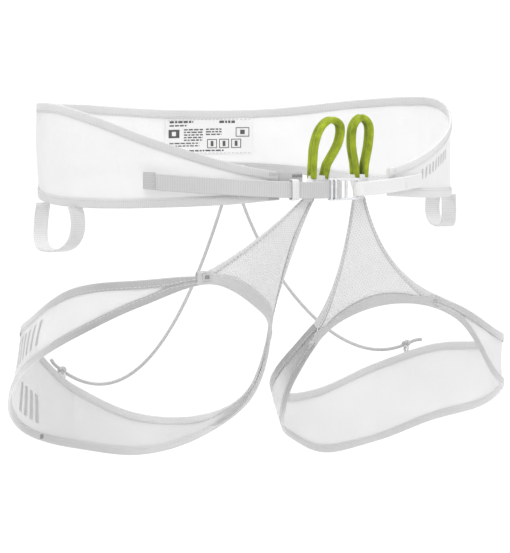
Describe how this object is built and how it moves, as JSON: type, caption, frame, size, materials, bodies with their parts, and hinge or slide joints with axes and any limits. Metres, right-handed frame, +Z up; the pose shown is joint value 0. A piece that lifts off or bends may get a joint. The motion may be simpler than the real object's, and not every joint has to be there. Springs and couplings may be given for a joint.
{
  "type": "climbing harness",
  "caption": "Ultralight climbing harness with a laminated waist belt, two sleeved tie-in loops, two leg loops on mesh risers, gear loops and elastic rear cords.",
  "frame": {"origin": "centre of the waist opening in plan, level with the middle of the belt's sides", "axes": "+Z up, -Y to the wearer's front (the buckle), +X to the wearer's left"},
  "size_m": [0.3764, 0.2283, 0.2601],
  "materials": {
    "laminate": "satin",
    "mesh": "matte",
    "binding_tape": "matte",
    "green_sleeve": "matte",
    "cord": "matte",
    "buckle_metal": "satin",
    "label": "satin",
    "bartack": "matte",
    "elastic": "matte",
    "webbing": "matte"
  },
  "bodies": {
    "harness": {"waist_belt_panel": "laminate", "belt_top_binding": "binding_tape", "belt_bottom_binding": "binding_tape", "wing_end_cover_right": "binding_tape", "wing_end_cover_left": "binding_tape", "size_label": "label", "waist_strap": "webbing", "strap_end_fold": "webbing", "buckle_frame": "buckle_metal", "buckle_anchor_strap": "webbing", "tie_in_base_right": "webbing", "tie_in_base_left": "webbing", "cord_anchor_tab": "binding_tape", "rear_cord_right": "cord", "rear_cord_left": "cord"},
    "tie_in_right": {"tie_in_sleeve_right": "green_sleeve", "tie_in_core_right": "webbing"},
    "tie_in_left": {"tie_in_sleeve_left": "green_sleeve", "tie_in_core_left": "webbing"},
    "leg_right": {"leg_panel_right": "laminate", "leg_top_binding_right": "binding_tape", "leg_bottom_binding_right": "binding_tape", "riser_mesh_right": "mesh", "riser_outer_binding_right": "binding_tape", "riser_inner_binding_right": "binding_tape", "riser_base_binding_right": "binding_tape", "corner_patches_right": "bartack", "cord_knot_right": "cord", "cord_tab_right": "binding_tape"},
    "leg_left": {"leg_panel_left": "laminate", "leg_top_binding_left": "binding_tape", "leg_bottom_binding_left": "binding_tape", "riser_mesh_left": "mesh", "riser_outer_binding_left": "binding_tape", "riser_inner_binding_left": "binding_tape", "riser_base_binding_left": "binding_tape", "corner_patches_left": "bartack", "cord_knot_left": "cord", "cord_tab_left": "binding_tape"},
    "gear_right": {"gear_loop_right": "webbing"},
    "gear_left": {"gear_loop_left": "webbing"},
    "keeper": {"strap_keeper": "elastic"},
    "buckle_bar": {"buckle_bar": "buckle_metal"}
  },
  "joints": [
    {"name": "tie_in_flop_right", "type": "hinge", "parent": "harness", "child": "tie_in_right", "pos_m": [-0.011, -0.105, -0.009], "axis": [1, 0, 0], "range_deg": [-15, 75], "stiffness_Nm_per_rad": 0.05},
    {"name": "tie_in_flop_left", "type": "hinge", "parent": "harness", "child": "tie_in_left", "pos_m": [0.021, -0.105, -0.009], "axis": [1, 0, 0], "range_deg": [-15, 75], "stiffness_Nm_per_rad": 0.05},
    {"name": "leg_swing_right", "type": "hinge", "parent": "harness", "child": "leg_right", "pos_m": [-0.022, -0.107, -0.0272], "axis": [1, 0, 0], "range_deg": [-8, 25], "stiffness_Nm_per_rad": 4, "deforming": ["rear_cord_right"]},
    {"name": "leg_swing_left", "type": "hinge", "parent": "harness", "child": "leg_left", "pos_m": [0.019, -0.107, -0.0272], "axis": [1, 0, 0], "range_deg": [-8, 25], "stiffness_Nm_per_rad": 4, "deforming": ["rear_cord_left"]},
    {"name": "gear_swing_right", "type": "hinge", "parent": "harness", "child": "gear_right", "pos_m": [-0.1521, -0.0019, -0.033], "axis": [-0.0246, 0.9997, 0], "range_deg": [-10, 75], "stiffness_Nm_per_rad": 0.05},
    {"name": "gear_swing_left", "type": "hinge", "parent": "harness", "child": "gear_left", "pos_m": [0.1501, -0.0226, -0.0338], "axis": [-0.2869, -0.958, 0], "range_deg": [-10, 75], "stiffness_Nm_per_rad": 0.05},
    {"name": "keeper_slide", "type": "slide", "parent": "harness", "child": "keeper", "axis": [-0.9867, 0.1623, 0], "range_m": [-0.003, 0.004], "stiffness_N_per_m": 50},
    {"name": "buckle_bar_slide", "type": "slide", "parent": "harness", "child": "buckle_bar", "axis": [1, 0, 0], "range_m": [-0.0011, 0], "stiffness_N_per_m": 50}
  ]
}
